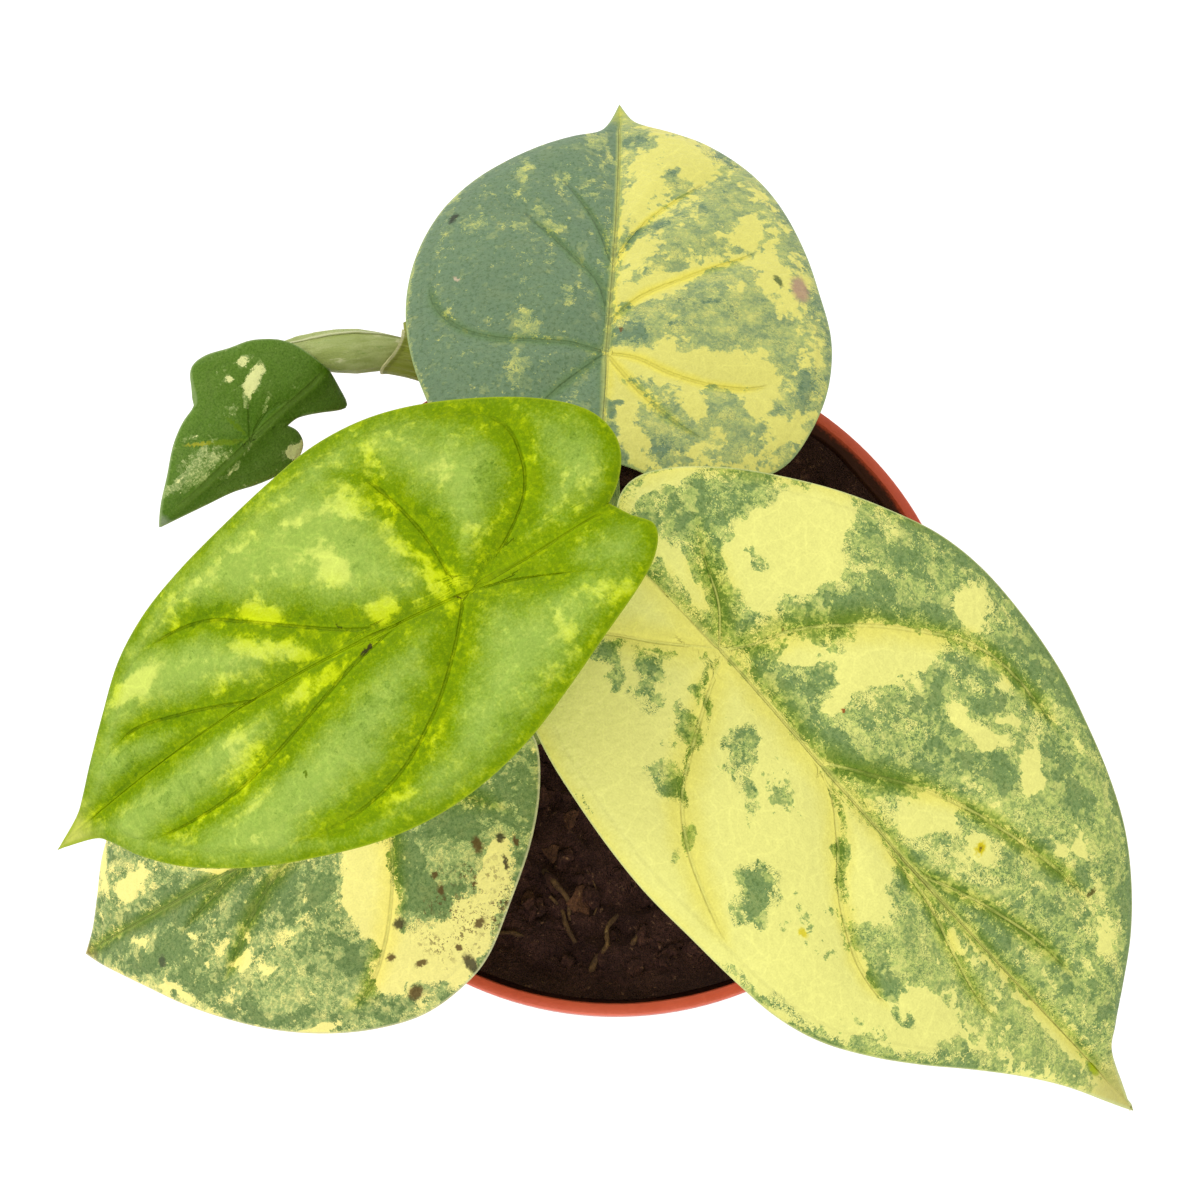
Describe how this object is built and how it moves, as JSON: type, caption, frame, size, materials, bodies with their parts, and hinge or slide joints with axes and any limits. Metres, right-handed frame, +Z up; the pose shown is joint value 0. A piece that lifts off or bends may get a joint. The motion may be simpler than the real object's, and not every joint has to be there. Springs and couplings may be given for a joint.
{
  "type": "potted variegated aroid",
  "caption": "Small nursery pot of soil with a variegated peltate aroid: broad drip-tipped leaves on upright petioles and a small arrow-shaped leaf on an offset shoot.",
  "frame": {"origin": "centre of the pot's flat underside", "axes": "+Z up along the pot's axis, -Y towards the front, where the low leaf and the right leaf point, +X to the right seen from the front"},
  "size_m": [0.1757, 0.1853, 0.1761],
  "materials": {
    "pot": "satin terracotta-coloured plastic",
    "soil": "dark moist potting soil with bark chips and fibres",
    "petiole": "smooth waxy stem",
    "sheath": "olive sheath with a cream margin",
    "new_leaf": "pale grey-green rolled leaf with cream streaks",
    "back_leaf": "matte leaf, one half blue-green and one half yellow with green flecks",
    "left_leaf": "satin lime leaf with silvery areas between sunken veins",
    "right_leaf": "matte cream-yellow leaf with blue-green patches",
    "low_leaf": "matte green and cream leaf with dark age spots",
    "small_leaf": "glossy dark green leaf with cream flecks"
  },
  "bodies": {
    "root": {"pot": "pot", "soil": "soil", "back_petiole": "petiole", "left_petiole": "petiole", "right_petiole": "petiole", "low_petiole": "petiole", "small_petiole": "sheath", "new_leaf": "new_leaf", "back_leaf": "back_leaf", "left_leaf": "left_leaf", "right_leaf": "right_leaf", "low_leaf": "low_leaf", "small_leaf": "small_leaf"}
  },
  "joints": []
}
